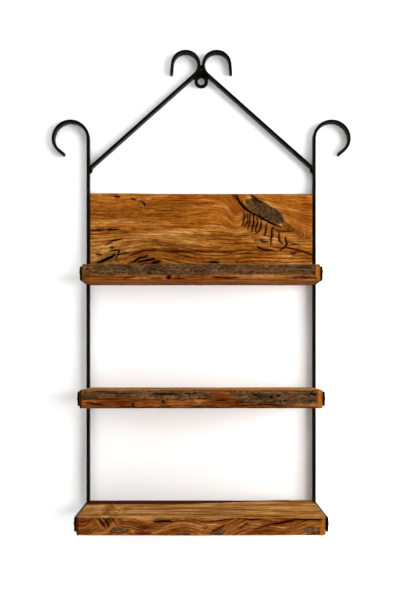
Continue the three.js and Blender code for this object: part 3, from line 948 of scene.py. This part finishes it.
def forged_bar(name, node, path, sign, mitre_x=None):
    """A hammered flat bar along a path drawn for the left side, mirrored for the right."""
    low, high = low_high(node)
    middle_y = (low[1] + high[1]) / 2
    section, ways = bar_section(IRON_THICKNESS, high[1] - low[1], 0.7 * MM)
    (first, first_angle), (last, last_angle) = path[0], path[-1]
    ahead = heading(first_angle)

    # The section shrinks over the last bit of each end, which eases the edges there.
    eased = 0.4 * MM
    stations = [path[0], (first + ahead * eased, first_angle), *path[1:-1]]
    stations += [(last - heading(last_angle) * eased, last_angle), path[-1]]
    insets = [0.6, 0.2, *[0.0] * (len(stations) - 4), 0.2, 0.6]
    rings, directions = [], []
    for (place, angle), inset in zip(stations, insets, strict=True):
        left = leftward(angle)
        rings.append(placed(section - ways * inset * MM, place, left, middle_y))
        directions.append(placed(ways, np.zeros(2), left, 0))
    if mitre_x is not None:
        for ring, reach in ((rings[0], 0.0), (rings[1], eased)):
            slide = (mitre_x + reach - ring[:, 0]) / ahead[0]
            ring[:, 0] += slide * ahead[0]
            ring[:, 2] += slide * ahead[1]
    points = np.concatenate(rings)
    hammer = layered(points, 13 * MM, 201) * 0.5 + 0.5
    facets = noise(points, 5 * MM, 230) * 0.5 + 0.5
    dents = (HAMMER_DENTS * hammer + FACET_DENTS * facets) * MM
    points = points - np.concatenate(directions) * dents[:, None]
    points = np.vstack([points, rings[0].mean(0), rings[-1].mean(0)])
    faces = sweep_faces(len(rings), len(section))
    if sign > 0:
        points[:, 0] *= -1
        faces = [f[::-1] for f in faces]
    return new_piece(name, points, faces, iron, [node])


# The bends, on the bar's centreline. Those not named here are taken from the CAD's boxes.
HOOK_CURL_RADIUS = 27 * MM
HOOK_CURL_ANGLE = 50
HOOK_TAIL = 14.5 * MM
SCROLL_RADIUS = 25 * MM
SCROLL_END_ANGLE = 175
SCROLL_TAIL = 20 * MM
BRACE_SLOPE = 41.7


def make_upright(side, sign):
    radius = (upright_high[0] - upright_low[0] - IRON_THICKNESS) / 2
    centre_z = upright_high[2] - radius - IRON_THICKNESS / 2
    runs = [
        {"length": centre_z - upright_low[2]},
        {"radius": radius, "bend": 180},
        {"radius": HOOK_CURL_RADIUS, "bend": HOOK_CURL_ANGLE},
        {"length": HOOK_TAIL},
    ]
    path = bent_path(upright_high[0] - IRON_THICKNESS / 2, upright_low[2], 90, runs)
    return forged_bar(f"{side}_upright_bar", f"{side}_upright", path, sign)


def make_brace(side, sign):
    low, high = low_high("left_brace")
    slope = math.radians(BRACE_SLOPE)
    centre_x = high[0] - IRON_THICKNESS / 2 - SCROLL_RADIUS
    centre_z = high[2] - IRON_THICKNESS / 2 - SCROLL_RADIUS
    tangent_x = centre_x + SCROLL_RADIUS * math.sin(slope)
    tangent_z = centre_z - SCROLL_RADIUS * math.cos(slope)
    straight = (tangent_x - low[0]) / math.cos(slope)
    runs = [
        {"length": straight},
        {"radius": SCROLL_RADIUS, "bend": 90 - BRACE_SLOPE + SCROLL_END_ANGLE},
        {"length": SCROLL_TAIL},
    ]
    path = bent_path(low[0], tangent_z - straight * math.sin(slope), BRACE_SLOPE, runs)
    return forged_bar(f"{side}_brace_bar", f"{side}_brace", path, sign, mitre_x=low[0])


# The ring's hole as a share of its outside.
RING_HOLE_SHARE = 0.462


def make_ring():
    """A ring with a rounded section, inside the flat ring that the frame hangs by."""
    low, high = low_high("hanging_ring")
    outer = (high[0] - low[0]) / 2
    hole = outer * RING_HOLE_SHARE
    section, ways = bar_section(outer - hole, high[1] - low[1], 1.6 * MM)
    turns = 72
    points, out = [], []
    for angle in np.arange(turns) * 2 * math.pi / turns:
        way = heading(angle)
        points.append(placed(section, (outer + hole) / 2 * way, way, (low[1] + high[1]) / 2))
        out.append(placed(ways, np.zeros(2), way, 0))
    points, out = np.concatenate(points), np.concatenate(out)
    worn = (layered(points, 6 * MM, 301) * 0.5 + 0.5) * 0.25
    points -= out * (worn * MM)[:, None]
    sides = len(section)
    faces = []
    for ring in range(turns):
        for side in range(sides):
            after, onward = (side + 1) % sides, (ring + 1) % turns
            near = (ring * sides + side, ring * sides + after)
            far = (onward * sides + after, onward * sides + side)
            faces.append(near + far)
    return new_piece("hanging_ring_forged", points, faces, iron, ["hanging_ring"])


def finish_arms():
    """The arms keep their CAD shape, with their edges eased by a file."""
    for side in SIDES:
        for shelf in SHELVES:
            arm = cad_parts[f"{side}_{shelf}_arm"]
            bevel = arm.modifiers.new("filed_edges", "BEVEL")
            bevel.width = 0.5 * MM
            bevel.segments = 3
            bevel.limit_method = "ANGLE"
            bevel.angle_limit = math.radians(40)
            bevel.harden_normals = True
            arm.material_slots[0].material = iron


# ---- Welds ----------------------------------------------------------------------------------


def make_arm_weld(side, sign, shelf):
    """A bead laid upwards in short pools, each lapping the last."""
    node = f"{side}_{shelf}_arm_weld"
    low, high = low_high(node)
    face_x = (low[0] if sign > 0 else high[0]) - sign * CLEARANCE
    half_width = (high[1] - low[1]) / 2
    proud = high[0] - low[0] + CLEARANCE
    middle_y = (low[1] + high[1]) / 2
    rings, sides, pools = 60, 20, 9
    points = []
    for ring in range(rings):
        share = (ring + 0.5) / rings
        z = low[2] + share * (high[2] - low[2])
        ending = math.sqrt(max(0.02, 1 - abs(2 * share - 1) ** 6))
        for angle in np.arange(sides) * 2 * math.pi / sides:
            lap = (share * pools + 0.22 * math.cos(angle)) % 1
            swell = ending * (0.82 + 0.18 * math.sin(math.pi * lap))
            x = face_x + sign * proud * swell * math.cos(angle)
            points.append((x, middle_y + half_width * swell * math.sin(angle), z))
    points = np.array(points)
    points += 0.12 * MM * np.column_stack([noise(points, 2.5 * MM, seed) for seed in (1, 2, 3)])
    ends = [(face_x, middle_y, low[2]), (face_x, middle_y, high[2])]
    points = np.vstack([points, ends])
    faces = sweep_faces(rings, sides)
    if sign < 0:
        faces = [f[::-1] for f in faces]
    return new_piece(f"{node}_bead", points, faces, weld, [node])


def make_melted(node, voxel, seed):
    """A CAD weld with its corners run together and its skin rippled as it froze."""
    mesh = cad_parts[node].data.copy()
    mesh.name = f"{node}_melted"
    piece = new_object(f"{node}_melted", mesh)
    remesh = piece.modifiers.new("remesh", "REMESH")
    remesh.mode = "VOXEL"
    remesh.voxel_size = voxel
    relax = piece.modifiers.new("relax", "SMOOTH")
    relax.iterations = 6
    relax.factor = 0.6
    graph = bpy.context.evaluated_depsgraph_get()
    made = bpy.data.meshes.new_from_object(piece.evaluated_get(graph))
    piece.modifiers.clear()
    piece.data = made
    count = len(made.vertices)
    points = np.empty(count * 3)
    normals = np.empty(count * 3)
    made.vertices.foreach_get("co", points)
    made.vertices.foreach_get("normal", normals)
    points, normals = points.reshape(-1, 3), normals.reshape(-1, 3)
    ripple = layered(points, 3.2 * MM, seed) * 0.5 * MM
    points = points + normals * (0.35 * MM + ripple)[:, None]
    made.vertices.foreach_set("co", points.ravel())
    made.shade_smooth()
    made.materials.clear()
    made.materials.append(weld)
    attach(piece, "root")
    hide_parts(node)
    return piece


# ---- Screws ---------------------------------------------------------------------------------


# Screws, with sizes that the CAD's boxes don't give.
SHANK_RADIUS = 2 * MM
DOME_HEIGHT = 2.4 * MM
COUNTERSINK_HEIGHT = 3 * MM
THREAD_PITCH = 1.9 * MM
THREAD_ROOT = 0.68 * SHANK_RADIUS
THREAD_DEPTH = 0.3 * SHANK_RADIUS
TIP_LENGTH = 4 * MM
CROSS_WIDTH = 0.62 * MM
CROSS_DEPTH = 1.3 * MM


def screw_profile(head_radius, head_height, length, domed):
    """Radius and height down a screw from the middle of its head, with its thread's depth."""
    rows = []
    if domed:
        for angle in np.radians(np.linspace(0, 90, 14)):
            rows.append((head_radius * math.sin(angle), head_height * math.cos(angle), 0))
        rows.append((head_radius * 0.97, -0.02 * MM, 0))
        rows.append((SHANK_RADIUS * 1.15, -0.04 * MM, 0))
    else:
        for share in np.linspace(0, 1, 10):
            rows.append((head_radius * share, head_height, 0))
        rows.append((head_radius, head_height - 0.5 * MM, 0))
    plain = 0.3 * length
    rows.append((SHANK_RADIUS * 0.95, -0.4 * MM, 0))
    rows.append((SHANK_RADIUS * 0.95, -plain, 0))
    for depth in np.arange(plain, length - TIP_LENGTH, 0.35 * MM):
        rows.append((THREAD_ROOT, -depth, THREAD_DEPTH))
    for share in np.linspace(0, 1, 8):
        radius = THREAD_ROOT * (1 - share) + 0.08 * MM
        rows.append((radius, -(length - TIP_LENGTH + share * TIP_LENGTH), THREAD_DEPTH * (1 - share)))
    return np.array(rows)


def cross_recess(x, y, radius, head_radius):
    """How deep a screwdriver's cross lies under each point of a ring on the head."""
    arms = [smooth(-np.abs(way), -CROSS_WIDTH * 1.4, -CROSS_WIDTH * 0.7) for way in (x, y)]
    fading = smooth(-radius, -head_radius * 0.58, -head_radius * 0.3)
    return CROSS_DEPTH * np.maximum(*arms) * fading


def make_screw(node, seat, way, head_radius, head_height, length, domed):
    """A wood screw: head with a cross recess, plain neck and a thread that winds to the tip."""
    sides = 28
    rows = screw_profile(head_radius, head_height, length, domed)
    angles = np.arange(sides) * 2 * math.pi / sides
    points = []
    for radius, height, thread in rows[1:]:
        phase = (height / THREAD_PITCH - angles / (2 * math.pi)) % 1
        crest = np.clip(1 - np.abs(2 * phase - 1) * 1.6, 0, 1)
        reach = radius + thread * crest
        x, y = reach * np.cos(angles), reach * np.sin(angles)
        z = np.full(sides, height)
        if height > 0 and radius < head_radius * 0.62:
            z = z - cross_recess(x, y, radius, head_radius)
        points.append(np.column_stack([x, y, z]))
    rings = len(points)
    ends = [(0, 0, rows[0][1] - CROSS_DEPTH), (0, 0, rows[-1][1] - 0.2 * MM)]
    points = np.vstack([*points, ends])
    sideways = (0, 1, 0)
    points = seat + points @ np.array([sideways, np.cross(way, sideways), way])
    faces = [f[::-1] for f in sweep_faces(rings, sides)]
    return new_piece(f"{node}_turned", points, faces, steel, [node])


def make_arm_screw(node, sign):
    """Driven in from a plank's end, with its domed head on the arm's outer face."""
    low, high = low_high(node)
    seat = (low + high) / 2
    seat[0] = high[0] - DOME_HEIGHT if sign > 0 else low[0] + DOME_HEIGHT
    length = high[0] - low[0] - DOME_HEIGHT
    make_screw(node, seat, (sign, 0, 0), (high[2] - low[2]) / 2, DOME_HEIGHT, length, True)


def make_panel_screw(node):
    """Driven up through the top plank, with its head let into the underside."""
    low, high = low_high(node)
    seat = (low + high) / 2
    seat[2] = low[2] + COUNTERSINK_HEIGHT
    length = high[2] - low[2] - COUNTERSINK_HEIGHT
    make_screw(node, seat, (0, 0, -1), (high[0] - low[0]) / 2, COUNTERSINK_HEIGHT, length, False)


def make_screws():
    for side, sign in SIDES.items():
        for shelf in SHELVES:
            for place in ("front", "rear"):
                make_arm_screw(f"{side}_{shelf}_{place}_screw", sign)
    for number in (1, 2, 3):
        make_panel_screw(f"panel_screw_{number}")


# ---- Stage ----------------------------------------------------------------------------------


# The wall stands this far behind the shelf, and the floor this far below it.
WALL_GAP = 1 * MM
FLOOR_DROP = 0.55
WHITE = (0.87, 0.87, 0.87, 1)


def stage_material(name, roughness, see_through_behind):
    """Matt white paint. The wall can be seen through from behind, to show the shelf's back."""
    s = Surface(name)
    s.set_input("Base Color", WHITE)
    s.set_input("Roughness", roughness)
    s.set_input("Specular IOR Level", 0.1)
    if see_through_behind:
        back = s.node("ShaderNodeNewGeometry", output="Backfacing")
        shadow = s.node("ShaderNodeLightPath", output="Is Shadow Ray")
        mixed = s.tree.nodes.new("ShaderNodeMixShader")
        s.plug(mixed.inputs[0], s.math("MAXIMUM", back, shadow))
        s.plug(mixed.inputs[1], s.shader.outputs[0])
        s.plug(mixed.inputs[2], s.node("ShaderNodeBsdfTransparent"))
        s.plug(s.tree.nodes["Material Output"].inputs[0], mixed.outputs[0])
    return s.material


def stage_plane(name, corners, material):
    mesh = bpy.data.meshes.new(name)
    mesh.from_pydata(corners, [], [(0, 1, 2, 3)])
    mesh.materials.append(material)
    plane = new_object(name, mesh)


def make_stage():
    left, right, front, back, top = -3.5, 3.5, -3.5, 3, 2
    y, z = WALL_GAP, cad_bounds[0][2] - FLOOR_DROP
    wall = [(left, y, z), (right, y, z), (right, y, top), (left, y, top)]
    floor = [(left, front, z), (right, front, z), (right, back, z), (left, back, z)]
    stage_plane("wall", wall, stage_material("wall_paint", 0.9, True))
    stage_plane("floor", floor, stage_material("floor_paint", 0.8, False))


def make_camera():
    """Level with the upper part of the middle plank, square to the wall."""
    data = bpy.data.cameras.new("camera")
    data.lens = 49.2
    data.sensor_width = 36
    data.shift_x = -0.002
    data.shift_y = 0.1005
    camera = new_object("camera", data)
    camera.location = (0, -1.55, -0.524)
    camera.rotation_euler = (math.radians(90), 0, 0)
    bpy.context.scene.camera = camera


# Each light's place, its width and height, and its power in watts. All face the shelf's middle.
LIGHT_TARGET = Vector((0, 0, -0.45))
LIGHTS = {
    "key": ((3.3, -2.5, -0.45), (3.0, 2.8), 238),
    "rake": ((4.0, -1.25, -0.45), (2.0, 2.8), 140),
    "fill": ((-2.2, -2.4, 0.2), (1.8, 1.8), 18),
    "sky": ((0.3, -1.8, 1.9), (1.8, 1.4), 38),
    "behind": ((-0.8, 1.6, 0.6), (1.4, 1.4), 14),
}


def make_lights():
    for name, (place, size, power) in LIGHTS.items():
        data = bpy.data.lights.new(name, "AREA")
        data.shape = "RECTANGLE"
        data.size, data.size_y = size
        data.energy = power
        light = new_object(name, data)
        light.location = place
        light.rotation_euler = (LIGHT_TARGET - Vector(place)).to_track_quat("-Z", "Y").to_euler()
    world = bpy.data.worlds.new("studio")
    world.use_nodes = True
    background = world.node_tree.nodes["Background"]
    background.inputs["Color"].default_value = (1, 0.985, 0.97, 1)
    background.inputs["Strength"].default_value = 0.22
    bpy.context.scene.world = world
    bpy.context.scene.view_settings.view_transform = "Standard"


# ---- Everything -----------------------------------------------------------------------------

make_camera()
make_lights()
make_stage()

make_back_panel()
make_top_shelf()
make_middle_shelf()
make_bottom_shelf()

for side_name, side_sign in SIDES.items():
    make_upright(side_name, side_sign)
    make_brace(side_name, side_sign)
    make_melted(f"{side_name}_brace_weld", voxel=0.5 * MM, seed=401)
    for shelf_name in SHELVES:
        make_arm_weld(side_name, side_sign, shelf_name)
make_ring()
make_melted("apex_gusset_weld", voxel=0.5 * MM, seed=402)
make_melted("scroll_tack_weld", voxel=0.35 * MM, seed=403)
finish_arms()
make_screws()
